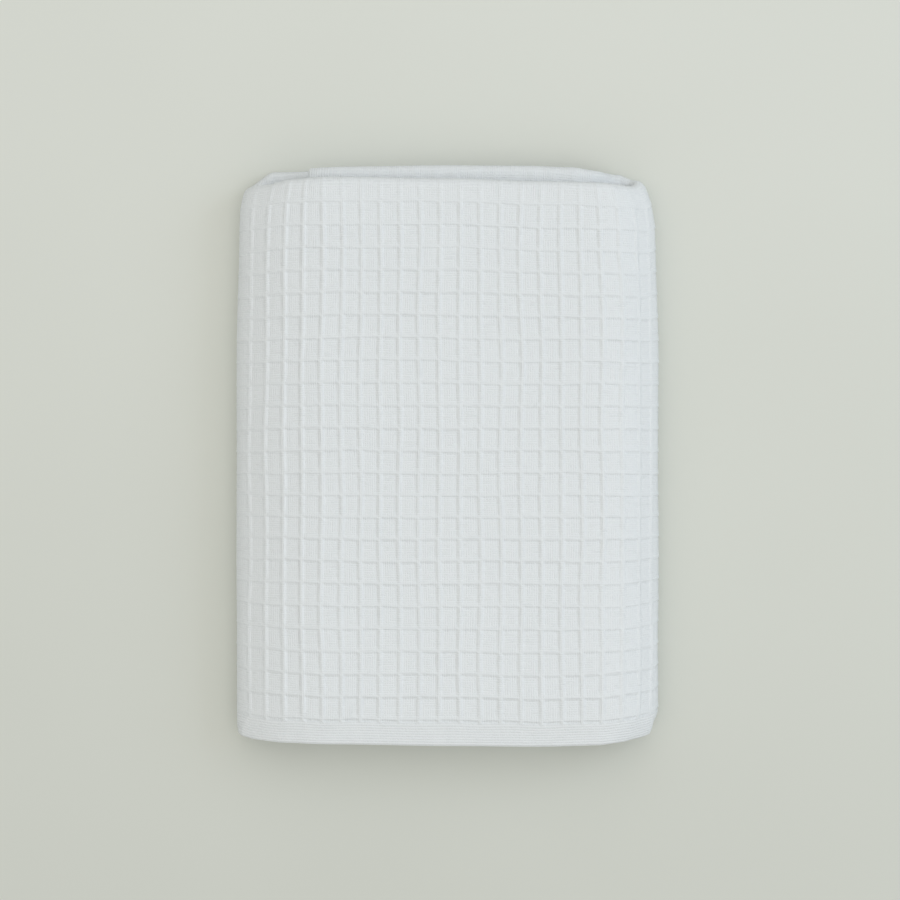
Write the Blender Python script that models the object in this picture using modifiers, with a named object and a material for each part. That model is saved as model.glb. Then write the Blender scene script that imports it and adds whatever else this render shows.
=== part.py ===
"""A square washcloth of waffle-woven cotton, folded into a flat stack of six plies.

The cloth is one sheet with a plain hem on all four sides. It is folded in half first, which makes a
doubled strip with a soft fold at its far end and two hems at its near end. The strip is then folded
in thirds: the right third is tucked under the centre, and the left third is wrapped under both. The
wrapped third stops short of the right fold, so that fold sinks until it rests on the table.

X runs to the right across the stack, Y runs from the hems to the fold, and Z is up. The stack rests
on z = 0, and the middle of its bounding box is on the Z axis.
"""

from collections import namedtuple
from math import cos, exp, pi, radians, sin

import bmesh
import bpy
from mathutils import Vector

# Every size in this file is in millimetres, and every turn in degrees. The mesh is written in metres.
METRES = 0.001

# The cloth, laid flat
CLOTH_SIDE = 330
PLY_THICKNESS = 1.8
HEM_WIDTH = 7.0
HEM_SLOPE = 0.8
HEM_THICKNESS_SHARE = 0.8

# The doubled strip that the first fold makes: two plies, a little apart
PLY_PITCH = 3.0
STRIP_HALF = (PLY_PITCH + PLY_THICKNESS) / 2
OUTER_PLY_LENGTH = 163.4
HALF_FOLD_LENGTH = pi * PLY_PITCH / 2
OUTER_PLY_STEPS = 15
HALF_FOLD_STEPS = 8
INNER_PLY_STEPS = 8

# The second fold: the strip's level runs and bends, from its tucked end to its open end
SIDE_RADIUS = 3.6
RIGHT_EDGE = 62.4
LEFT_EDGE = -63.2
RIGHT_CENTRE_X = RIGHT_EDGE - STRIP_HALF - SIDE_RADIUS
LEFT_CENTRE_X = LEFT_EDGE + STRIP_HALF + SIDE_RADIUS
RIGHT_FOLD_TURN = 135
LEFT_FOLD_TURN = 147
TUCKED_END_X = -42.3
TUCKED_END_Z = 8.7
TUCKED_END_TILT = 8
TOP_Z = 17.0
Stretch = namedtuple("Stretch", "name length turn steps")
STRIP = (
    Stretch("tucked end", 16, -8, 3),
    Stretch("inner flap", 64, 0, 5),
    Stretch("over the open end", 9.5, -40, 3),
    Stretch("down to the table", 1.65, 0, 1),
    Stretch("on to the table", 9.5, 40, 4),
    Stretch("right fold", SIDE_RADIUS * radians(RIGHT_FOLD_TURN), RIGHT_FOLD_TURN, 7),
    Stretch("right rise", 6.2, 0, 2),
    Stretch("right shoulder", 6.5, 32, 3),
    Stretch("right brow", 9, 13, 2),
    Stretch("centre", 74.05, 0, 8),
    Stretch("left brow", 9, 13, 2),
    Stretch("left slope", 3.5, 0, 1),
    Stretch("left shoulder", 10, 20, 3),
    Stretch("left rise", 4.28, 0, 1),
    Stretch("left fold", SIDE_RADIUS * radians(LEFT_FOLD_TURN), LEFT_FOLD_TURN, 8),
    Stretch("outer flap", 89.1, 0, 8),
)

# Where the half fold and the hems come to, at distances along the strip from its tucked end
Ends = namedtuple("Ends", "place along back front")
STRIP_ENDS = (
    Ends("tucked end", 0, 86.6, -81.4),
    Ends("inner flap, left part", 11, 86.9, -80.8),
    Ends("inner flap, middle", 42, 87.3, -80.4),
    Ends("inner flap, right part", 66, 87.2, -80.8),
    Ends("inner flap, by the open end", 78, 86.7, -81.4),
    Ends("down to the table", 88, 85.8, -81.8),
    Ends("on to the table", 92, 84.6, -81.6),
    Ends("right fold", 101.5, 80.6, -80.6),
    Ends("right rise", 113, 80.6, -82.2),
    Ends("right shoulder", 118, 81.2, -82.9),
    Ends("right brow", 125, 81.6, -83.5),
    Ends("centre, right part", 145, 82.0, -83.9),
    Ends("centre, middle", 170, 82.8, -83.7),
    Ends("left brow", 206, 83.3, -83.2),
    Ends("left shoulder", 220, 82.7, -82.9),
    Ends("left rise", 226, 81.4, -82.4),
    Ends("left fold", 232, 81.2, -81.2),
    Ends("below the left fold", 240, 81.2, -81.2),
    Ends("outer flap, left part", 249, 85.4, -81.0),
    Ends("outer flap, middle", 262, 86.2, -81.2),
    Ends("open end", 330, 82.0, -82.0),
)
BACK_EDGE = 81.6
FRONT_EDGE = BACK_EDGE - STRIP_HALF - OUTER_PLY_LENGTH

# How each corner of the stack is drawn in, seen from above
Corner = namedtuple("Corner", "name side end length inward")
CORNERS = (
    Corner("back right", 1, 1, 14, 3.4),
    Corner("back left", -1, 1, 11, 2.2),
    Corner("front left", -1, -1, 5, 1.2),
    Corner("front right", 1, -1, 12, 5),
)
CORNER_GATHER = 20

# The sides draw in a little toward both ends
Narrowing = namedtuple("Narrowing", "end starts length inward")
NARROWINGS = (Narrowing(1, 28, 45, 0.9), Narrowing(-1, 48, 45, 0.2))

# The stack is thinner along its hems, and its top swells and dips softly
HEM_SQUEEZE = 0.12
HEM_SQUEEZE_DEPTH = 16
FOLD_SQUEEZE = 0.06
FOLD_SQUEEZE_DEPTH = 20
Swell = namedtuple("Swell", "place x y across along height")
SWELLS = (
    Swell("middle", 4, -6, 40, 56, 0.9),
    Swell("crease by the back fold", 16, 64, 34, 5, -0.45),
    Swell("right of the hems", 34, -60, 20, 16, 0.4),
    Swell("left of the middle", -30, 30, 16, 30, -0.3),
)


def ease(share):
    """Goes smoothly from 0 to 1 as the share does."""
    share = min(max(share, 0), 1)
    return share * share * (3 - 2 * share)


def even_marks(start, end, steps):
    """Distances from start to end in equal steps, without the end."""
    return [start + (end - start) * step / steps for step in range(steps)]


def hemmed(marks):
    """Adds a line where each hem ends and one where the weave is at full thickness."""
    total = marks[-1]
    clear = HEM_WIDTH + HEM_SLOPE
    inner = [mark for mark in marks if clear < mark < total - clear]
    near = [0, HEM_WIDTH - HEM_SLOPE, HEM_WIDTH]
    far = [total - mark for mark in reversed(near)]
    return near + inner + far


def marks_across():
    """Grid lines along the strip: close together round the bends."""
    marks = []
    start = 0
    for stretch in STRIP:
        marks += even_marks(start, start + stretch.length, stretch.steps)
        start += stretch.length
    return hemmed(marks + [CLOTH_SIDE])


def marks_along():
    """Grid lines from the outer ply's hem, round the half fold, to the inner ply's hem."""
    turn = OUTER_PLY_LENGTH + HALF_FOLD_LENGTH
    marks = even_marks(0, OUTER_PLY_LENGTH, OUTER_PLY_STEPS)
    marks += even_marks(OUTER_PLY_LENGTH, turn, HALF_FOLD_STEPS)
    marks += even_marks(turn, CLOTH_SIDE, INNER_PLY_STEPS)
    return hemmed(marks + [CLOTH_SIDE])


def strip_line(distance):
    """The middle of the doubled strip, seen from the hems: x, z and heading at a distance along it."""
    x, z, heading = TUCKED_END_X, TUCKED_END_Z, radians(TUCKED_END_TILT)
    for stretch in STRIP:
        step = min(distance, stretch.length)
        turned = heading + radians(stretch.turn) * step / stretch.length
        if stretch.turn:
            radius = stretch.length / radians(stretch.turn)
            x += radius * (sin(turned) - sin(heading))
            z += radius * (cos(heading) - cos(turned))
        else:
            x += step * cos(heading)
            z += step * sin(heading)
        heading = turned
        distance -= step
    return x, z, heading


def strip_ends(distance):
    """Where the strip's fold and hems come to at a distance along it, between the table's rows."""
    for here, after in zip(STRIP_ENDS, STRIP_ENDS[1:]):
        if distance <= after.along:
            break
    share = ease((distance - here.along) / (after.along - here.along))
    return here.back + (after.back - here.back) * share, here.front + (after.front - here.front) * share


def ply_profile(mark):
    """How far a mark lies behind the half fold's centre line, and how far outside the strip's middle."""
    radius = PLY_PITCH / 2
    past = mark - OUTER_PLY_LENGTH
    if past <= 0:
        return past, radius
    if past >= HALF_FOLD_LENGTH:
        return HALF_FOLD_LENGTH - past, -radius
    return radius * sin(past / radius), radius * cos(past / radius)


def pulled_to_ends(y, distance):
    """Moves a place along the strip so that its fold and hems come where the table says."""
    back, front = strip_ends(distance)
    if y > 0:
        return y + (back - BACK_EDGE) * min(y / BACK_EDGE, 1)
    return y + (front - FRONT_EDGE) * min(y / FRONT_EDGE, 1)


def rounded_corners(x, y):
    """Draws the stack in at its corners, by as much all round each side fold."""
    for corner in CORNERS:
        centre = RIGHT_CENTRE_X if corner.side > 0 else -LEFT_CENTRE_X
        end = BACK_EDGE if corner.end > 0 else -FRONT_EDGE
        near_end = min(max((corner.end * y - end + corner.length) / corner.length, 0), 1)
        gathered = ease((corner.side * x - centre + CORNER_GATHER) / CORNER_GATHER)
        x -= corner.side * corner.inward * gathered * near_end**2
    return x


def narrowed(x, y):
    """Draws the sides in toward the ends."""
    for narrowing in NARROWINGS:
        share = ease((narrowing.end * y - narrowing.starts) / narrowing.length)
        x -= narrowing.inward * share * x / RIGHT_EDGE
    return x


def settled(x, y, z):
    """Lowers the stack along its hems and fold, and lets its upper plies swell and dip."""
    hems = ease((FRONT_EDGE + HEM_SQUEEZE_DEPTH - y) / HEM_SQUEEZE_DEPTH)
    fold = ease((y - BACK_EDGE + FOLD_SQUEEZE_DEPTH) / FOLD_SQUEEZE_DEPTH)
    lowest_ply = PLY_THICKNESS / 2
    z -= (z - lowest_ply) * (HEM_SQUEEZE * hems + FOLD_SQUEEZE * fold)
    raised = ease((z - 2 * STRIP_HALF) / (TOP_Z - STRIP_HALF))
    for swell in SWELLS:
        distance = ((x - swell.x) / swell.across) ** 2 + ((y - swell.y) / swell.along) ** 2
        z += raised * swell.height * exp(-distance)
    return z


def folded_place(across, along):
    """Where a point of the flat cloth lies in the folded stack, on the sheet's middle."""
    x, z, heading = strip_line(across)
    behind, outside = ply_profile(along)
    y = pulled_to_ends(BACK_EDGE - STRIP_HALF + behind, across)
    x = rounded_corners(x, y)
    x = narrowed(x, y)
    x += outside * sin(heading)
    z -= outside * cos(heading)
    return Vector((x, y, settled(x, y, z)))


def remove_everything():
    for item in list(bpy.data.objects):
        bpy.data.objects.remove(item, do_unlink=True)


def cotton():
    """White cotton: matt, and a little warm in its shadows."""
    material = bpy.data.materials.new("white waffle cotton")
    material.use_nodes = True
    shader = material.node_tree.nodes["Principled BSDF"]
    shader.inputs["Base Color"].default_value = (0.86, 0.87, 0.87, 1)
    shader.inputs["Roughness"].default_value = 0.9
    shader.inputs["Metallic"].default_value = 0
    return material


def cloth_mesh():
    """The cloth's middle surface: a flat grid whose points are carried to their places in the stack."""
    across = marks_across()
    along = marks_along()
    sheet = bmesh.new()
    columns, rows = len(across) - 1, len(along) - 1
    bmesh.ops.create_grid(sheet, x_segments=columns, y_segments=rows, size=1)
    full = sheet.verts.layers.deform.new()
    for vert in sheet.verts:
        s = across[round((vert.co.x + 1) / 2 * columns)]
        t = along[round((vert.co.y + 1) / 2 * rows)]
        edge = min(s, t, CLOTH_SIDE - s, CLOTH_SIDE - t)
        vert[full][0] = 1.0 if edge > HEM_WIDTH - HEM_SLOPE / 2 else 0.0
        vert.co = folded_place(s, t) * METRES
    bmesh.ops.recalc_face_normals(sheet, faces=sheet.faces)
    mesh = bpy.data.meshes.new("washcloth")
    sheet.to_mesh(mesh)
    sheet.free()
    return mesh


def thicken(cloth):
    """Gives the sheet its thickness, half to each side, thinner at the hems."""
    cloth.vertex_groups.new(name="full thickness")
    wall = cloth.modifiers.new("thickness", "SOLIDIFY")
    wall.thickness = PLY_THICKNESS * METRES
    wall.offset = 0
    wall.use_even_offset = True
    wall.vertex_group = "full thickness"
    wall.thickness_vertex_group = HEM_THICKNESS_SHARE


def centre_on_axis(cloth):
    """Puts the middle of the finished box on the Z axis and its lowest point on z = 0."""
    shape = cloth.evaluated_get(bpy.context.evaluated_depsgraph_get())
    corners = [Vector(corner) for corner in shape.bound_box]
    low = Vector([min(corner[axis] for corner in corners) for axis in range(3)])
    high = Vector([max(corner[axis] for corner in corners) for axis in range(3)])
    middle = (low + high) / 2
    for vert in cloth.data.vertices:
        vert.co -= Vector((middle.x, middle.y, low.z))


def main():
    remove_everything()
    collection = bpy.data.collections.new("washcloth")
    bpy.context.scene.collection.children.link(collection)
    cloth = bpy.data.objects.new("washcloth", cloth_mesh())
    cloth.data.materials.append(cotton())
    cloth.data.shade_smooth()
    collection.objects.link(cloth)
    thicken(cloth)
    centre_on_axis(cloth)


main()
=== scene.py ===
# %% [markdown]
# # A folded waffle-weave washcloth
#
# The real object is one square of white cotton, 330 mm on a side. Its middle is woven as a waffle: a net
# of soft raised ridges round small square cells. A plain woven hem runs round all four sides. The cloth
# is folded in half, and the doubled strip is then folded in thirds and laid on a table.
#
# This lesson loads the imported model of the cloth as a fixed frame, weaves a flat cloth at its real size,
# folds it along the same lines as the model, and gives it cotton, soft daylight and a camera.

# %% The frame
from collections import namedtuple
from math import pi, radians

import bmesh
import bpy
import numpy as np
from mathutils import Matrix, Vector


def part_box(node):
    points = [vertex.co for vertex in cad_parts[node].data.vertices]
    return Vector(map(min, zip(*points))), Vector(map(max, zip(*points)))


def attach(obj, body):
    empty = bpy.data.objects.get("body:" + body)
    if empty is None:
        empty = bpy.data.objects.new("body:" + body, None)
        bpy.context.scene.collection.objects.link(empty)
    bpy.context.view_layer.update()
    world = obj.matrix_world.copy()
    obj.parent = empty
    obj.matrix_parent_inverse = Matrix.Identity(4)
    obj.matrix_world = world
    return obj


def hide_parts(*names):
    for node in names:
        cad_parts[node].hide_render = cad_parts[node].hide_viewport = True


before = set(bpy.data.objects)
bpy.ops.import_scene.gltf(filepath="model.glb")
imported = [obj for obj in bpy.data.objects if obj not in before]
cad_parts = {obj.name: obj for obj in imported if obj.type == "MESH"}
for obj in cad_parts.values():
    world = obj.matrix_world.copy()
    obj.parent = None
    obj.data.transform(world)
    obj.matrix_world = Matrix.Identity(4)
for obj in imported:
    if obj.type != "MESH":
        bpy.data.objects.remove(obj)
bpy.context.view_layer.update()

MM = 0.001

# %% [markdown]
# ## The way the cloth is folded
#
# The folds could be found by a cloth simulation, but a washcloth is pressed flat by hand, and its folds
# are simple curves. So a few functions carry any point of the flat cloth to its place in the stack. They
# use the sizes of the frame's solid, and the two agree closely, apart from the back corners of the side
# folds, where this cloth reaches up to 4 mm farther back. The functions work in millimetres, on whole
# arrays of points at once.
#
# A point of the flat cloth has two distances. `across` runs along the doubled strip, from the end that is
# tucked inside to the open end underneath. `along` runs from the outer ply's hem, round the half fold, to
# the inner ply's hem.

# %% The sizes of the cloth and of its folds
CLOTH_SIDE = 330
HEM_WIDTH = 7.0
PLY_THICKNESS = 1.8
PLY_PITCH = 3.0
STRIP_HALF = (PLY_PITCH + PLY_THICKNESS) / 2
OUTER_PLY_LENGTH = 163.4
HALF_FOLD_LENGTH = pi * PLY_PITCH / 2

SIDE_RADIUS = 3.6
RIGHT_EDGE = 62.4
LEFT_EDGE = -63.2
RIGHT_CENTRE_X = RIGHT_EDGE - STRIP_HALF - SIDE_RADIUS
LEFT_CENTRE_X = LEFT_EDGE + STRIP_HALF + SIDE_RADIUS
TOP_HEIGHT = 17.0

# The doubled strip, from its tucked end, as level runs and bends
TUCKED_END_X = -42.3
TUCKED_END_Z = 8.7
TUCKED_END_TILT = 8
Stretch = namedtuple("Stretch", "name length turn")
STRIP = (
    Stretch("tucked end", 16, -8),
    Stretch("inner flap", 64.0, 0),
    Stretch("over the open end", 9.5, -40),
    Stretch("down to the table", 1.65, 0),
    Stretch("on to the table", 9.5, 40),
    Stretch("right fold", SIDE_RADIUS * radians(135), 135),
    Stretch("right rise", 6.2, 0),
    Stretch("right shoulder", 6.5, 32),
    Stretch("right brow", 9, 13),
    Stretch("centre", 74.05, 0),
    Stretch("left brow", 9, 13),
    Stretch("left slope", 3.5, 0),
    Stretch("left shoulder", 10, 20),
    Stretch("left rise", 4.28, 0),
    Stretch("left fold", SIDE_RADIUS * radians(147), 147),
    Stretch("outer flap", 89.1, 0),
)
print(f"the strip is {sum(stretch.length for stretch in STRIP):.1f} mm long")

# %% The tables of where its edges come to
# The half fold and the hems, at distances along the strip
Ends = namedtuple("Ends", "place along back front")
STRIP_ENDS = (
    Ends("tucked end", 0, 86.6, -81.4),
    Ends("inner flap, left part", 11, 86.9, -80.8),
    Ends("inner flap, middle", 42, 87.3, -80.4),
    Ends("inner flap, right part", 66, 87.2, -80.8),
    Ends("inner flap, by the open end", 78, 86.7, -81.4),
    Ends("down to the table", 88, 85.8, -81.8),
    Ends("on to the table", 98.5, 85.0, -81.6),
    Ends("right fold", 104, 83.2, -80.6),
    Ends("right rise", 113, 80.8, -82.2),
    Ends("right shoulder", 118, 81.2, -82.9),
    Ends("right brow", 125, 81.6, -83.5),
    Ends("centre, right part", 145, 82.0, -83.9),
    Ends("centre, middle", 170, 82.8, -83.7),
    Ends("left brow", 206, 83.3, -83.2),
    Ends("left shoulder", 220, 82.7, -82.9),
    Ends("left rise", 228, 81.4, -82.4),
    Ends("left fold", 235, 81.1, -81.2),
    Ends("outer flap, left part", 243.5, 85.8, -81.0),
    Ends("outer flap, middle", 262, 86.2, -81.2),
    Ends("open end", 330, 82.0, -82.0),
)
BACK_EDGE = 81.6
FRONT_EDGE = BACK_EDGE - STRIP_HALF - OUTER_PLY_LENGTH

# How each corner of the stack is drawn in, seen from above
Corner = namedtuple("Corner", "name side end length inward")
CORNERS = (
    Corner("back right", 1, 1, 14, 3.4),
    Corner("back left", -1, 1, 11, 2.2),
    Corner("front left", -1, -1, 5, 1.2),
    Corner("front right", 1, -1, 12, 5),
)
CORNER_GATHER = 20

# The sides draw in a little toward both ends
Narrowing = namedtuple("Narrowing", "end starts length inward")
NARROWINGS = (
    Narrowing(1, 28, 45, 0.9),
    Narrowing(-1, 48, 45, 0.2),
)
print(f"edges: {len(STRIP_ENDS)} places along the strip, {len(CORNERS)} corners")

# %% The tables of how it sinks and swells
HEM_SQUEEZE = 0.12
HEM_SQUEEZE_DEPTH = 16
FOLD_SQUEEZE = 0.06
FOLD_SQUEEZE_DEPTH = 20
Swell = namedtuple("Swell", "place x y across along height")
SWELLS = (
    Swell("middle", 4, -6, 40, 56, 0.9),
    Swell("crease by the back fold", 16, 64, 34, 5, -0.45),
    Swell("right of the hems", 34, -60, 20, 16, 0.4),
    Swell("left of the middle", -30, 30, 16, 30, -0.3),
)
print("swells in mm:", [swell.height for swell in SWELLS])


# %% From the flat cloth to the strip's line
def ease(share):
    """Goes smoothly from 0 to 1 as the share does."""
    share = np.clip(share, 0, 1)
    return share * share * (3 - 2 * share)


def strip_line(distance):
    """The middle of the doubled strip, seen from the hems: x, z and heading at distances along it."""
    heading = radians(TUCKED_END_TILT)
    x = TUCKED_END_X + np.minimum(distance, 0) * np.cos(heading)
    z = TUCKED_END_Z + np.minimum(distance, 0) * np.sin(heading)
    turned = np.full_like(distance, heading)
    start = 0.0
    for stretch in STRIP:
        step = np.clip(distance - start, 0, stretch.length)
        turn = radians(stretch.turn)
        if turn:
            radius = stretch.length / turn
            x += radius * (np.sin(heading + step / radius) - np.sin(heading))
            z += radius * (np.cos(heading) - np.cos(heading + step / radius))
        else:
            x += step * np.cos(heading)
            z += step * np.sin(heading)
        turned += turn * step / stretch.length
        heading += turn
        start += stretch.length
    return x + np.maximum(distance - start, 0), z, turned


samples = np.array([0.0, 50.0, 104.7, 160.0, 235.0, 330.0])
print("strip heights in mm:", np.round(strip_line(samples)[1], 1))


# %% From the strip's line to the stack
def strip_ends(distance):
    """Where the strip's fold and hems come to at distances along it, between the table's rows."""
    back = np.full_like(distance, STRIP_ENDS[0].back)
    front = np.full_like(distance, STRIP_ENDS[0].front)
    for here, after in zip(STRIP_ENDS, STRIP_ENDS[1:]):
        share = ease((distance - here.along) / (after.along - here.along))
        back += (after.back - here.back) * share
        front += (after.front - here.front) * share
    return back, front


def ply_profile(mark):
    """How far marks lie behind the half fold's centre line, and how far outside the strip's middle."""
    radius = PLY_PITCH / 2
    past = mark - OUTER_PLY_LENGTH
    turned = np.clip(past, 0, HALF_FOLD_LENGTH) / radius
    straight = np.minimum(past, 0) - np.maximum(past - HALF_FOLD_LENGTH, 0)
    return straight + radius * np.sin(turned), radius * np.cos(turned)


def pulled_to_ends(y, distance):
    """Moves places along the strip so that its fold and hems come where the table says."""
    back, front = strip_ends(distance)
    y = y + (back - BACK_EDGE) * np.clip(y / BACK_EDGE, 0, 1)
    return y + (front - FRONT_EDGE) * np.clip(y / FRONT_EDGE, 0, 1)


def rounded_corners(x, y):
    """Draws the stack in at its corners, by as much all round each side fold."""
    for corner in CORNERS:
        centre = RIGHT_CENTRE_X if corner.side > 0 else -LEFT_CENTRE_X
        end = BACK_EDGE if corner.end > 0 else -FRONT_EDGE
        near_end = np.clip((corner.end * y - end + corner.length) / corner.length, 0, 1)
        gathered = ease((corner.side * x - centre + CORNER_GATHER) / CORNER_GATHER)
        x = x - corner.side * corner.inward * gathered * near_end**2
    return x


def narrowed(x, y):
    """Draws the sides in toward the ends."""
    for narrowing in NARROWINGS:
        share = ease((narrowing.end * y - narrowing.starts) / narrowing.length)
        x = x - narrowing.inward * share * x / RIGHT_EDGE
    return x


def settled(x, y, z):
    """Lowers the stack along its hems and fold, and lets its upper plies swell and dip."""
    hems = ease((FRONT_EDGE + HEM_SQUEEZE_DEPTH - y) / HEM_SQUEEZE_DEPTH)
    fold = ease((y - BACK_EDGE + FOLD_SQUEEZE_DEPTH) / FOLD_SQUEEZE_DEPTH)
    lowest_ply = PLY_THICKNESS / 2
    z = z - (z - lowest_ply) * (HEM_SQUEEZE * hems + FOLD_SQUEEZE * fold)
    raised = ease((z - 2 * STRIP_HALF) / (TOP_HEIGHT - STRIP_HALF))
    for swell in SWELLS:
        distance = ((x - swell.x) / swell.across) ** 2 + ((y - swell.y) / swell.along) ** 2
        z = z + raised * swell.height * np.exp(-distance)
    return z


# %% The whole fold
def folded_place(across, along):
    """Where points of the flat cloth lie in the folded stack, on the sheet's middle."""
    x, z, heading = strip_line(across)
    behind, outside = ply_profile(along)
    y = pulled_to_ends(BACK_EDGE - STRIP_HALF + behind, across)
    x = rounded_corners(x, y)
    x = narrowed(x, y)
    x = x + outside * np.sin(heading)
    z = z - outside * np.cos(heading)
    return np.stack((x, y, settled(x, y, z)), axis=-1)


NEARBY = 0.05


def folded_normal(across, along):
    """Which way the cloth's right side faces there: out of the doubled strip."""
    one_way = folded_place(across + NEARBY, along) - folded_place(across - NEARBY, along)
    other_way = folded_place(across, along + NEARBY) - folded_place(across, along - NEARBY)
    normal = np.cross(other_way, one_way)
    return normal / np.linalg.norm(normal, axis=-1, keepdims=True)


middle = (np.array([160.0]), np.array([80.0]))
print("middle of the top ply:", np.round(folded_place(*middle)[0], 1))
print("and the way it faces:", np.round(folded_normal(*middle)[0], 2))

# %% [markdown]
# ## The weave
#
# In a waffle weave, long floats of yarn stand up as ridges on a square grid, and the plain weave between
# them lies lower. A bump in the material could hint at this, but light and shade play round the ridges.
# So they are real: the height of the cloth's right side is a function of the distance to the nearest
# ridge.
#
# The cells' floors are flat. The upright ridges are soft cords with steep sides and a shallow groove at
# each foot. The level ridges are thinner and lower: steep on the side of the hem, and sloping gently
# into the next cell on the side of the half fold. Where the cloth is bent or pressed, the relief is less.

# %% The cells
CELLS_ALONG = 48
CELL_LENGTH = (CLOTH_SIDE - 2 * HEM_WIDTH) / CELLS_ALONG
CELLS_ACROSS = 54
CELL_WIDTH = (CLOTH_SIDE - 2 * HEM_WIDTH) / CELLS_ACROSS

# The hem covers part of the first cell and of the first row
FIRST_CELL_SHARE = 0.37
FIRST_ROW_LENGTH = 0.9
FIRST_RIDGE_ACROSS = HEM_WIDTH + FIRST_CELL_SHARE * CELL_WIDTH
FIRST_RIDGE_ALONG = HEM_WIDTH + FIRST_ROW_LENGTH
print(f"cells: {CELL_WIDTH:.2f} by {CELL_LENGTH:.2f} mm, {CELLS_ACROSS * CELLS_ALONG} in all")

# %% The shape of a ridge
FLOOR_HEIGHT = 0.48
CREST_RISE = 0.34

# How far the weave stands above the floor, at distances from a ridge's line
Rise = namedtuple("Rise", "place distance height")
UPRIGHT = (
    Rise("crest", 0.0, 0.34),
    Rise("edge of the crest", 0.45, 0.30),
    Rise("groove", 0.92, -0.08),
    Rise("floor", 1.40, 0.0),
)
LEVEL = (
    Rise("floor by the hem side", -1.00, 0.0),
    Rise("groove", -0.55, -0.26),
    Rise("crest by the hem side", -0.10, 0.30),
    Rise("crest", 0.25, 0.30),
    Rise("gentle slope", 0.90, 0.12),
    Rise("floor", 1.80, 0.0),
)


def rise(distance, rows):
    """The height between a table's rows, and level before and after them."""
    height = np.full_like(distance, rows[0].height)
    for here, after in zip(rows, rows[1:]):
        share = ease((distance - here.distance) / (after.distance - here.distance))
        height += (after.height - here.height) * share
    return height


def from_ridge(place, first, pitch):
    """The distance past the nearest of a row of evenly spaced ridges, negative before it."""
    return (place - first + pitch / 2) % pitch - pitch / 2


print("from an upright ridge's line out, in mm:", [row.height for row in UPRIGHT])

# %% Where the relief is pressed flatter
Pressed = namedtuple("Pressed", "place across along width share")
PRESSED = (
    Pressed("right fold", 105, None, 9, 0.45),
    Pressed("left fold", 236, None, 10, 0.45),
    Pressed("half fold", None, 166, 7, 0.7),
)
RELIEF_UNEVENNESS = 0.08
RELIEF_SEED = 3
SPARE_VALUES = 6


def uneven(across, along, seed):
    """A smooth random field over the cloth, with about one value a cell."""
    shape = (CELLS_ACROSS + SPARE_VALUES, CELLS_ALONG + SPARE_VALUES)
    values = np.random.default_rng(seed).normal(0, 1, shape)
    column, row = across / CELL_WIDTH, along / CELL_LENGTH
    left, below = column.astype(int), row.astype(int)
    to_right, up = ease(column - left), ease(row - below)
    lower = values[left, below] * (1 - to_right) + values[left + 1, below] * to_right
    upper = values[left, below + 1] * (1 - to_right) + values[left + 1, below + 1] * to_right
    return lower * (1 - up) + upper * up


def relief_share(across, along):
    """How much of the full relief is left: less on the folds, and a little uneven everywhere."""
    share = 1 + RELIEF_UNEVENNESS * uneven(across, along, RELIEF_SEED)
    for row in PRESSED:
        distance = along - row.along if row.across is None else across - row.across
        share = share * (1 - row.share * np.exp(-((distance / row.width) ** 2)))
    return share


print("relief left on the right fold:", np.round(relief_share(np.array([105.0]), np.array([80.0])), 2))


# %% The height of the weave
def weave_height(across, along):
    """How far the right side stands above the sheet's middle, in millimetres."""
    upright = rise(np.abs(from_ridge(across, FIRST_RIDGE_ACROSS, CELL_WIDTH)), UPRIGHT)
    level = rise(from_ridge(along, FIRST_RIDGE_ALONG, CELL_LENGTH), LEVEL)
    high = np.maximum(np.maximum(upright, level), 0)
    low = np.minimum(np.minimum(upright, level), 0)
    above_floor = high + low * (1 - high / CREST_RISE)
    return FLOOR_HEIGHT + CREST_RISE - (CREST_RISE - above_floor) * relief_share(across, along)


row_middle = np.array([FIRST_RIDGE_ALONG + 10.5 * CELL_LENGTH])
for name, cells in (("crest", 26), ("floor", 26.5)):
    place = np.array([FIRST_RIDGE_ACROSS + cells * CELL_WIDTH])
    print(f"height of a {name} in mm:", np.round(weave_height(place, row_middle), 2))

# %% The hems and the rim
HEM_HALF = 0.75
HEM_RISE = 0.8
BACK_DEPTH = 0.85
RIM_RADIUS = 0.75
LEAST_RIM = 0.02


def from_edge(across, along):
    """The distance to the nearest edge of the cloth."""
    nearest_across = np.minimum(across, CLOTH_SIDE - across)
    nearest_along = np.minimum(along, CLOTH_SIDE - along)
    return np.minimum(nearest_across, nearest_along)


def past_hem(edge):
    """Goes from 0 on the hem to 1 in the weave, at distances from the edge."""
    return ease((edge - HEM_WIDTH + HEM_RISE / 2) / HEM_RISE)


def rounded_rim(edge):
    """How much of the thickness is left where the rim is rounded."""
    return np.sqrt(1 - (1 - np.clip(edge / RIM_RADIUS, LEAST_RIM, 1)) ** 2)


def right_side(across, along):
    """The right side's height over the whole cloth, with its hems and rim."""
    edge = from_edge(across, along)
    height = HEM_HALF + (weave_height(across, along) - HEM_HALF) * past_hem(edge)
    return height * rounded_rim(edge)


def wrong_side(across, along):
    """The wrong side's depth below the sheet's middle. It lies between the plies."""
    edge = from_edge(across, along)
    depth = HEM_HALF + (BACK_DEPTH - HEM_HALF) * past_hem(edge)
    return -depth * rounded_rim(edge)


inward = np.array([0.0, 0.4, 3.5])
print("height of the hem from its edge inward, in mm:", np.round(right_side(inward, row_middle), 2))


# %% [markdown]
# ## The lines of the mesh
#
# The grid that becomes the right side has its lines where the ridges need them: on each crest, down each
# wall and in each groove, with none on the flat floor between them. Where the cloth is hidden inside the
# stack, fewer lines do. Round the half fold the lines are evenly spaced, so that the bend is smooth. The
# wrong side is only seen at the hems, so its lines are few.

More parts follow.
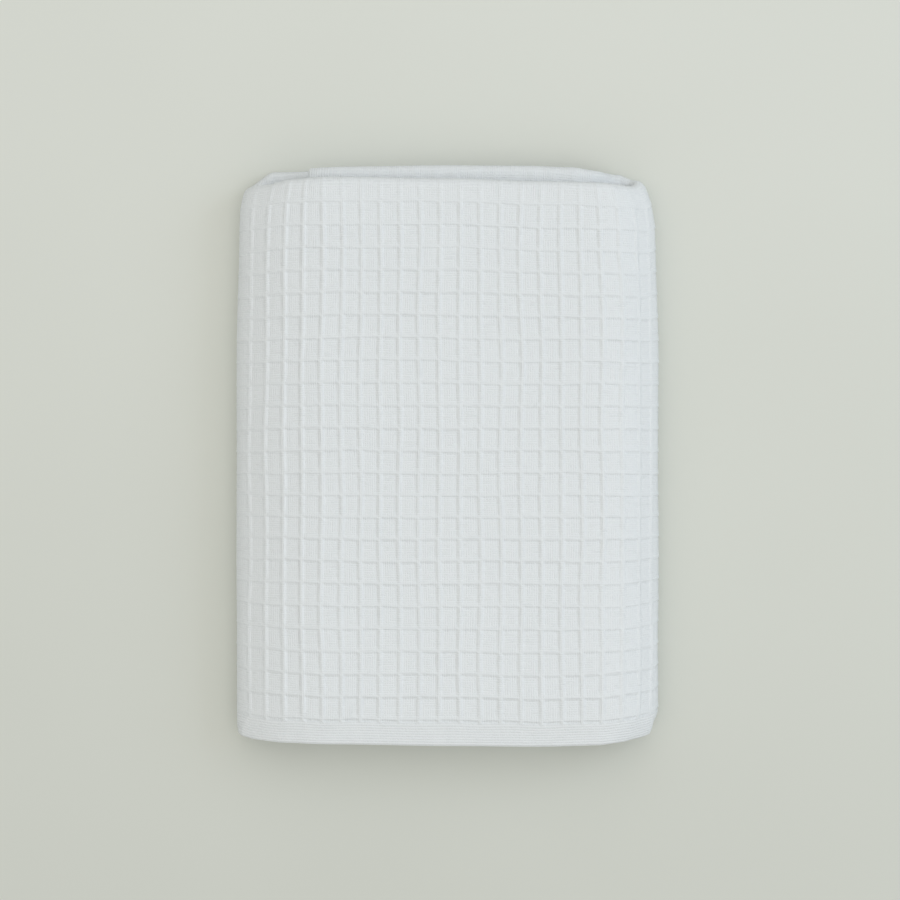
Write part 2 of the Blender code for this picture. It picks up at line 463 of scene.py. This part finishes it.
# %% Where the lines go
Lines = namedtuple("Lines", "starts ends offsets")
FINE_ACROSS = (0, 0.45, 0.7, 0.92, 1.4, 4.45, 4.93, 5.15, 5.4)
COARSE_ACROSS = (0, 0.9, 4.95)
FINE_ALONG = (0.25, 0.9, 1.8, 5.58, 6.03, 6.25, 6.48)
COARSE_ALONG = (0,)

ACROSS = (
    Lines(0, 92, COARSE_ACROSS),
    Lines(92, 246, FINE_ACROSS),
    Lines(246, CLOTH_SIDE, COARSE_ACROSS),
)
ALONG = (
    Lines(0, 160, FINE_ALONG),
    Lines(182, CLOTH_SIDE, COARSE_ALONG),
)
EVEN_STARTS = 160
EVEN_ENDS = 182
EVEN_STEP = 0.7
HEM_LINES = (0, 0.1, 0.3, 0.8, 2.2, 3.6, 5.0, 6.2, 6.7, 7.0)
CLEAR_OF_HEM = 7.3


def weave_lines(spans, first, pitch):
    """Sorted grid lines over the cloth's side: those of the hems and those of each span's cells."""
    lines = list(HEM_LINES) + [CLOTH_SIDE - line for line in HEM_LINES]
    for cell in range(-1, int(CLOTH_SIDE / pitch) + 1):
        for span in spans:
            for offset in span.offsets:
                line = first + cell * pitch + offset
                inside = CLEAR_OF_HEM < line < CLOTH_SIDE - CLEAR_OF_HEM
                if inside and span.starts <= line < span.ends:
                    lines.append(line)
    return lines


across_lines = np.array(sorted(weave_lines(ACROSS, FIRST_RIDGE_ACROSS, CELL_WIDTH)))
turn_lines = list(np.arange(EVEN_STARTS, EVEN_ENDS, EVEN_STEP))
along_lines = np.array(sorted(weave_lines(ALONG, FIRST_RIDGE_ALONG, CELL_LENGTH) + turn_lines))
closest = np.diff(across_lines).min()
print(f"right side: {len(across_lines)} by {len(along_lines)} lines, closest {closest:.2f} mm")

# %% Where the wrong side's lines go
WRONG_HEM_LINES = (0.25, 0.8, 3.0, 6.4, 7.6)
WRONG_STEP = 4.0
TURN_STEP = 0.55
RIGHT_TURN = (99, 110)
TURN_MARGIN = 0.3


def wrong_lines(turn_starts, turn_ends):
    """Sorted grid lines of the wrong side: even ones, with close ones round a fold."""
    even = np.arange(10, CLOTH_SIDE - 10, WRONG_STEP)
    even = even[(even < turn_starts) | (even > turn_ends)]
    turn = np.arange(turn_starts, turn_ends, TURN_STEP)
    rim = np.array(WRONG_HEM_LINES)
    return np.sort(np.concatenate((even, turn, rim, CLOTH_SIDE - rim)))


inner_ply_starts = OUTER_PLY_LENGTH + HALF_FOLD_LENGTH
wrong_across = wrong_lines(*RIGHT_TURN)
wrong_along = wrong_lines(OUTER_PLY_LENGTH - TURN_MARGIN, inner_ply_starts + TURN_MARGIN)
print(f"wrong side: {len(wrong_across)} by {len(wrong_along)} lines")


# %% [markdown]
# ## The flat cloth
#
# The cloth is built flat first, with its right side up. One grid is the right side. Its rim is extruded
# down, and the gap between that rim and a second, coarser grid is filled with triangles, which closes the
# sheet. In this flat state each corner point's x and y are its two distances on the cloth.

# %% Two grids and a rim
def add_grid(sheet, xs, ys, height):
    """A grid whose lines stand at the given places, all at one height."""
    made = bmesh.ops.create_grid(sheet, x_segments=len(xs) - 1, y_segments=len(ys) - 1, size=1)
    for vert in made["verts"]:
        column = round((vert.co.x + 1) / 2 * (len(xs) - 1))
        row = round((vert.co.y + 1) / 2 * (len(ys) - 1))
        vert.co = (xs[column], ys[row], height)
    return made["verts"]


def flat_cloth():
    """The closed flat sheet, in millimetres: the right side at 1 and the wrong side at -1."""
    sheet = bmesh.new()
    add_grid(sheet, across_lines, along_lines, 1)
    rim = [edge for edge in sheet.edges if edge.is_boundary]
    lowered = bmesh.ops.extrude_edge_only(sheet, edges=rim)["geom"]
    for vert in [item for item in lowered if isinstance(item, bmesh.types.BMVert)]:
        vert.co.z = -1
    add_grid(sheet, wrong_across, wrong_along, -1)
    open_edges = [edge for edge in sheet.edges if edge.is_boundary]
    bmesh.ops.triangle_fill(sheet, use_beauty=True, use_dissolve=False, edges=open_edges)
    bmesh.ops.recalc_face_normals(sheet, faces=sheet.faces)
    return sheet


sheet = flat_cloth()
left_open = sum(edge.is_boundary for edge in sheet.edges)
print(f"flat cloth: {len(sheet.verts)} points, {len(sheet.faces)} faces, {left_open} open edges")


# %% [markdown]
# ## The folding
#
# Handmade folds and worn yarn are never quite even. So before the fold is worked out, each point is
# shifted on the cloth by a smooth wobble of a few tenths of a millimetre, which bends the rows of cells as
# washing does. The wobble is a sum of a few long waves and of a little seeded noise, so it is the same
# every time. Beside the folds the cells also crowd together or spread, by up to 1.7 mm.

# %% The wobble
Wave = namedtuple("Wave", "across along phase size")
WAVES_ACROSS = (
    Wave(0.071, 0.113, 0.4, 0.16),
    Wave(-0.172, 0.087, 2.1, 0.11),
    Wave(0.262, 0.151, 4.4, 0.06),
    Wave(0.043, -0.247, 1.2, 0.04),
)
WAVES_ALONG = (
    Wave(0.093, 0.052, 3.3, 0.16),
    Wave(-0.121, 0.143, 0.9, 0.11),
    Wave(0.311, -0.172, 5.2, 0.07),
    Wave(0.402, 0.091, 2.6, 0.05),
)

# Where the cells crowd or spread, first along the strip and then from the hems to the half fold
Crowding = namedtuple("Crowding", "place middle width shift")
CROWDINGS_ACROSS = (
    Crowding("right fold", 108, 9, 1.7),
    Crowding("left of the middle", 178, 22, 0.7),
    Crowding("left fold", 234, 18, -1.5),
)
CROWDINGS_ALONG = (
    Crowding("near the hems", 50, 25, 0.55),
    Crowding("by the half fold", 150, 35, -0.65),
)
CELL_SHIFT = 0.04
ACROSS_SEED = 1
ALONG_SEED = 2


def wobble(across, along, waves):
    """The sum of the waves at points of the flat cloth."""
    total = np.zeros_like(across)
    for wave in waves:
        total += wave.size * np.sin(wave.across * across + wave.along * along + wave.phase)
    return total


def crowded(place, crowdings):
    """How far the cells at a distance are shifted."""
    return sum(row.shift * np.exp(-(((place - row.middle) / row.width) ** 2)) for row in crowdings)


print("shift by the right fold in mm:", round(crowded(108, CROWDINGS_ACROSS), 2))

# %% The fold
def fold(mesh):
    """Carries the flat sheet's points to the folded stack, and returns their places on the flat cloth."""
    count = len(mesh.vertices)
    flat = np.empty(count * 3)
    mesh.vertices.foreach_get("co", flat)
    across, along, side = flat.reshape(count, 3).T
    inside = ease(from_edge(across, along) / HEM_WIDTH)
    shift_across = wobble(across, along, WAVES_ACROSS) + crowded(across, CROWDINGS_ACROSS)
    shift_along = wobble(across, along, WAVES_ALONG) + crowded(along, CROWDINGS_ALONG)
    shift_across += CELL_SHIFT * uneven(across, along, ACROSS_SEED)
    shift_along += CELL_SHIFT * uneven(across, along, ALONG_SEED)
    shifted_across = across + inside * shift_across
    shifted_along = along + inside * shift_along
    height = np.where(side > 0, right_side(across, along), wrong_side(across, along))
    place = folded_place(shifted_across, shifted_along)
    place += folded_normal(shifted_across, shifted_along) * height[:, None]
    place[:, 2] = np.maximum(place[:, 2], 0)
    mesh.vertices.foreach_set("co", (place * MM).ravel())
    return across, along


def centre_on(mesh, box):
    """Moves the mesh so that its middle is over the middle of the frame's box."""
    low, high = box
    xs = [vert.co.x for vert in mesh.vertices]
    ys = [vert.co.y for vert in mesh.vertices]
    to_right = (low.x + high.x - min(xs) - max(xs)) / 2
    to_back = (low.y + high.y - min(ys) - max(ys)) / 2
    shift = Vector((to_right, to_back, 0))
    for vert in mesh.vertices:
        vert.co += shift
    return shift


mesh = bpy.data.meshes.new("folded_washcloth")
sheet.to_mesh(mesh)
sheet.free()
across, along = fold(mesh)
shift = centre_on(mesh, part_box("washcloth"))
mesh.shade_smooth()
cloth = bpy.data.objects.new("folded_washcloth", mesh)
bpy.context.collection.objects.link(cloth)
print("moved to the frame's middle by", [round(value / MM, 2) for value in shift], "mm")

# %% [markdown]
# ## A map of the flat cloth
#
# Threads follow the cloth through every fold, so their pattern can't be laid out in space. Each point
# keeps its place on the flat cloth as a UV map, in shares of the cloth's side.

# %% The map
flat_map = mesh.uv_layers.new(name="flat_cloth")
corner_points = np.empty(len(mesh.loops), dtype=np.int32)
mesh.loops.foreach_get("vertex_index", corner_points)
places = np.stack((across, along), axis=-1)[corner_points] / CLOTH_SIDE
flat_map.data.foreach_set("uv", places.ravel())
print("map:", flat_map.name, np.round(places.min(), 3), "to", np.round(places.max(), 3))


# %% [markdown]
# ## Cotton
#
# The real yarn is bleached cotton: matt, white with a faint blue from the daylight, and fuzzy, so its
# edges glow a little. The threads of the cells' floors lie 0.67 mm apart, and the hem is woven in ribs
# 0.78 mm apart that run along the edge. Both are too fine for the mesh and are drawn as bump. Their tone
# is painted shade, darker between the threads and ribs and lighter on them, with random fuzz mixed in.

# %% A helper for colours and one for nodes
def linear(hex_colour):
    """A colour from its sRGB hex value to the linear one that shaders use."""
    shares = [int(hex_colour[place:place + 2], 16) / 255 for place in (1, 3, 5)]
    curve = [((share + 0.055) / 1.055) ** 2.4 for share in shares]
    return [share / 12.92 if share <= 0.04045 else bent for share, bent in zip(shares, curve)] + [1]


def add_node(tree, kind, settings=None, links=None):
    """Adds a node with its settings, and gives its inputs a value or a link. A node is its first output."""
    node = tree.nodes.new(kind)
    for name, value in (settings or {}).items():
        setattr(node, name, value)
    for name, value in (links or {}).items():
        if isinstance(value, bpy.types.Node):
            value = value.outputs[0]
        if isinstance(value, bpy.types.NodeSocket):
            tree.links.new(value, node.inputs[name])
        else:
            node.inputs[name].default_value = value
    return node


def new_material(name, values):
    """A material with plain values on its own shader, its node tree and that shader."""
    material = bpy.data.materials.new(name)
    material.use_nodes = True
    shader = material.node_tree.nodes["Principled BSDF"]
    for socket, value in values.items():
        shader.inputs[socket].default_value = value
    return material, material.node_tree, shader


print("white in linear colour:", linear("#FFFFFF"))

# %% The kinds of node that the patterns use, and their settings
MATHS = "ShaderNodeMath"
MIX = "ShaderNodeMix"
NOISE = "ShaderNodeTexNoise"
MAP_RANGE = "ShaderNodeMapRange"
TIMES = {"operation": "MULTIPLY"}
PLUS = {"operation": "ADD"}
MINUS = {"operation": "SUBTRACT"}
LESSER = {"operation": "MINIMUM"}
ABOVE = {"operation": "GREATER_THAN"}
SINE = {"operation": "SINE"}
NUMBERS = {"data_type": "FLOAT"}
COLOURS = {"data_type": "RGBA"}

# %% One row of threads
THREAD_PITCH = 0.67
RIB_PITCH = 0.78
SLUB_LENGTH = 3.0
SLUB_SHARE = 0.6


def ribs(tree, place, pitch):
    """A wave across the threads: 1 on each thread and 0 between two of them."""
    turned = add_node(tree, MATHS, TIMES, {0: place, 1: 2 * pi / pitch})
    wave = add_node(tree, MATHS, SINE, {0: turned})
    lifted = add_node(tree, MATHS, PLUS, {0: wave, 1: 1.0})
    return add_node(tree, MATHS, TIMES, {0: lifted, 1: 0.5})


def yarn(tree, over, by, pitch):
    """Threads side by side, each a little thicker and thinner along its length."""
    thread = add_node(tree, MATHS, TIMES, {0: over, 1: 1 / pitch})
    slub = add_node(tree, MATHS, TIMES, {0: by, 1: 1 / SLUB_LENGTH})
    place = add_node(tree, "ShaderNodeCombineXYZ", {}, {"X": thread, "Y": slub})
    thickness = add_node(tree, NOISE, {}, {"Vector": place, "Scale": 1.0, "Detail": 2.0})
    values = {"Factor": SLUB_SHARE, "A": ribs(tree, over, pitch), "B": thickness}
    return add_node(tree, MIX, NUMBERS, values)


print(f"threads {THREAD_PITCH} mm apart, ribs of the hem {RIB_PITCH} mm")

# %% The pattern of the threads
# The map is one unit wide, so a scale of 90 is a patch for each 3.7 mm
PATCH_SCALE = 90.0
WARP_BELOW = 0.35
WEFT_ABOVE = 0.65
HEM_WEAR = 0.45


def thread_pattern(tree, place):
    """Warp threads or weft threads, whichever lie on top in a cell, and ribs along the hem."""
    sides = add_node(tree, "ShaderNodeSeparateXYZ", {}, {"Vector": place})
    across = add_node(tree, MATHS, TIMES, {0: sides.outputs["X"], 1: CLOTH_SIDE})
    along = add_node(tree, MATHS, TIMES, {0: sides.outputs["Y"], 1: CLOTH_SIDE})
    warp = yarn(tree, across, along, THREAD_PITCH)
    weft = yarn(tree, along, across, THREAD_PITCH)
    patches = add_node(tree, NOISE, {}, {"Vector": place, "Scale": PATCH_SCALE, "Detail": 1.0})
    limits = {"Value": patches, "From Min": WARP_BELOW, "From Max": WEFT_ABOVE}
    on_top = add_node(tree, MAP_RANGE, {}, limits)
    woven = add_node(tree, MIX, NUMBERS, {"Factor": on_top, "A": warp, "B": weft})

    other_across = add_node(tree, MATHS, MINUS, {0: CLOTH_SIDE, 1: across})
    other_along = add_node(tree, MATHS, MINUS, {0: CLOTH_SIDE, 1: along})
    nearest_across = add_node(tree, MATHS, LESSER, {0: across, 1: other_across})
    nearest_along = add_node(tree, MATHS, LESSER, {0: along, 1: other_along})
    edge = add_node(tree, MATHS, LESSER, {0: nearest_across, 1: nearest_along})
    values = {"Factor": HEM_WEAR, "A": ribs(tree, edge, RIB_PITCH), "B": patches}
    hem = add_node(tree, MIX, NUMBERS, values)
    in_weave = add_node(tree, MATHS, ABOVE, {0: edge, 1: HEM_WIDTH})
    return add_node(tree, MIX, NUMBERS, {"Factor": in_weave, "A": hem, "B": woven})


# %% The cotton
# A matt, fuzzy fibre: almost no gloss, and a faint glow at grazing angles
COTTON = {"Roughness": 0.92, "Specular IOR Level": 0.2, "Sheen Weight": 0.1, "Sheen Roughness": 0.5}
# Painted shade: the cotton is darker between the threads and ribs, and lighter on their tops
SHADE_BETWEEN_THREADS = "#E3E7EA"
LIT_ON_THREADS = "#FAFDFF"
THREAD_HEIGHT = 0.17 * MM
# A tuft of fuzz for each half millimetre
FUZZ_SCALE = 700.0
FUZZ_SHARE = 0.5


def waffle_cotton():
    """Bleached cotton yarn, woven."""
    material, tree, shader = new_material("bleached waffle cotton", COTTON)
    place = add_node(tree, "ShaderNodeUVMap", {"uv_map": "flat_cloth"})
    threads = thread_pattern(tree, place)
    fuzz = add_node(tree, NOISE, {}, {"Vector": place, "Scale": FUZZ_SCALE, "Detail": 3.0})
    height = add_node(tree, MATHS, PLUS, {0: threads, 1: fuzz})
    values = {"Height": height, "Strength": 1.0, "Distance": THREAD_HEIGHT}
    bump = add_node(tree, "ShaderNodeBump", {}, values)
    tree.links.new(bump.outputs["Normal"], shader.inputs["Normal"])
    # The tone is painted shade between the threads and ribs, mixed with random fuzz
    thread_shade_and_fuzz = add_node(tree, MIX, NUMBERS, {"Factor": FUZZ_SHARE, "A": threads, "B": fuzz})
    tones = {"Factor": thread_shade_and_fuzz, 6: linear(SHADE_BETWEEN_THREADS), 7: linear(LIT_ON_THREADS)}
    tone = add_node(tree, MIX, COLOURS, tones)
    tree.links.new(tone.outputs[2], shader.inputs["Base Color"])
    return material


mesh.materials.append(waffle_cotton())
print("material:", mesh.materials[0].name)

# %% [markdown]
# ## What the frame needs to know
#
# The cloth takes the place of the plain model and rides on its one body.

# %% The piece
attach(cloth, "root")
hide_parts("washcloth")

# %% [markdown]
# ## The table and the light
#
# The cloth lies on a plain pale table in soft light. Most of it comes from overhead, because light from
# every side would wash the low ridges out. One large cool softbox at the right gives them their shaded
# sides. The camera looks straight down from about a metre.

# %% The table
# Honed stone: matt and pale, with faint clouds. Painted light makes it a little lighter toward the back
STONE = {"Roughness": 0.7, "Specular IOR Level": 0.2}
STONE_IN_FRONT_SHADED = "#D6D8D0"
STONE_BEHIND_LIT = "#E7E9E2"
TONE_REACH = 0.13
CLOUD_SCALE = 9.0
CLOUD_SHARE = 0.3
TABLE_HALF = 9


def pale_table():
    """Pale stone with faint clouds, and painted light that makes it slowly lighter from front to back."""
    material, tree, shader = new_material("pale matt stone", STONE)
    place = add_node(tree, "ShaderNodeTexCoord").outputs["Object"]
    depth = add_node(tree, "ShaderNodeSeparateXYZ", {}, {"Vector": place}).outputs["Y"]
    # Painted light: the stone is lighter toward the back and darker in front
    limits = {"Value": depth, "From Min": -TONE_REACH, "From Max": TONE_REACH}
    painted_light_toward_back = add_node(tree, MAP_RANGE, {}, limits)
    clouds = add_node(tree, NOISE, {}, {"Vector": place, "Scale": CLOUD_SCALE, "Detail": 2.0})
    share = add_node(tree, MIX, NUMBERS, {"Factor": CLOUD_SHARE, "A": painted_light_toward_back, "B": clouds})
    tones = {"Factor": share, 6: linear(STONE_IN_FRONT_SHADED), 7: linear(STONE_BEHIND_LIT)}
    tone = add_node(tree, MIX, COLOURS, tones)
    tree.links.new(tone.outputs[2], shader.inputs["Base Color"])
    return material


surface = bmesh.new()
bmesh.ops.create_grid(surface, x_segments=1, y_segments=1, size=TABLE_HALF)
table_mesh = bpy.data.meshes.new("table")
surface.to_mesh(table_mesh)
surface.free()
table_mesh.materials.append(pale_table())
table = bpy.data.objects.new("table", table_mesh)
bpy.context.collection.objects.link(table)
print("table:", table_mesh.materials[0].name)

# %% The light of the room
AT_THE_SIDES = 0.15
OVERHEAD = 1.09
ROOM_COLOUR = (1.0, 1.0, 0.965, 1)
world = bpy.data.worlds.new("soft room light")
world.use_nodes = True
sky = world.node_tree
room = sky.nodes["Background"]
room.inputs["Color"].default_value = ROOM_COLOUR
toward = add_node(sky, "ShaderNodeTexCoord").outputs["Generated"]
up = add_node(sky, "ShaderNodeSeparateXYZ", {}, {"Vector": toward}).outputs["Z"]
limits = {"Value": up, "To Min": AT_THE_SIDES, "To Max": OVERHEAD}
brightness = add_node(sky, MAP_RANGE, {}, limits)
sky.links.new(brightness.outputs["Result"], room.inputs["Strength"])
bpy.context.scene.world = world
print(f"room light: {AT_THE_SIDES} at the sides, {OVERHEAD} overhead")

# %% The softbox
SOFTBOX_PLACE = (1.15, 0.30, 0.68)
SOFTBOX_WIDTH = 1.0
SOFTBOX_HEIGHT = 0.60
SOFTBOX_WATTS = 3.7
COOL_DAYLIGHT = (0.72, 0.84, 1.0)
light = bpy.data.lights.new("right softbox", "AREA")
light.shape = "RECTANGLE"
light.size = SOFTBOX_WIDTH
light.size_y = SOFTBOX_HEIGHT
light.energy = SOFTBOX_WATTS
light.color = COOL_DAYLIGHT
softbox = bpy.data.objects.new("right softbox", light)
softbox.location = SOFTBOX_PLACE
softbox.rotation_euler = (-softbox.location).to_track_quat("-Z", "Y").to_euler()
bpy.context.collection.objects.link(softbox)
print(f"softbox: {SOFTBOX_WATTS} W, {softbox.location.length:.2f} m from the cloth")

# %% The camera
VIEW_WIDTH = 262.8 * MM
CAMERA_X = 0.64 * MM
CAMERA_Y = 1.4 * MM
CAMERA_HEIGHT = 0.92
CLOTH_TOP = 0.0195
SENSOR = 36
CLIP_END = 30
camera_data = bpy.data.cameras.new("camera")
camera_data.sensor_width = SENSOR
camera_data.lens = SENSOR * (CAMERA_HEIGHT - CLOTH_TOP) / VIEW_WIDTH
camera_data.clip_end = CLIP_END
camera = bpy.data.objects.new("camera", camera_data)
camera.location = (CAMERA_X, CAMERA_Y, CAMERA_HEIGHT)
bpy.context.collection.objects.link(camera)
bpy.context.scene.camera = camera
bpy.context.scene.view_settings.view_transform = "Standard"
print(f"lens: {camera_data.lens:.1f} mm")
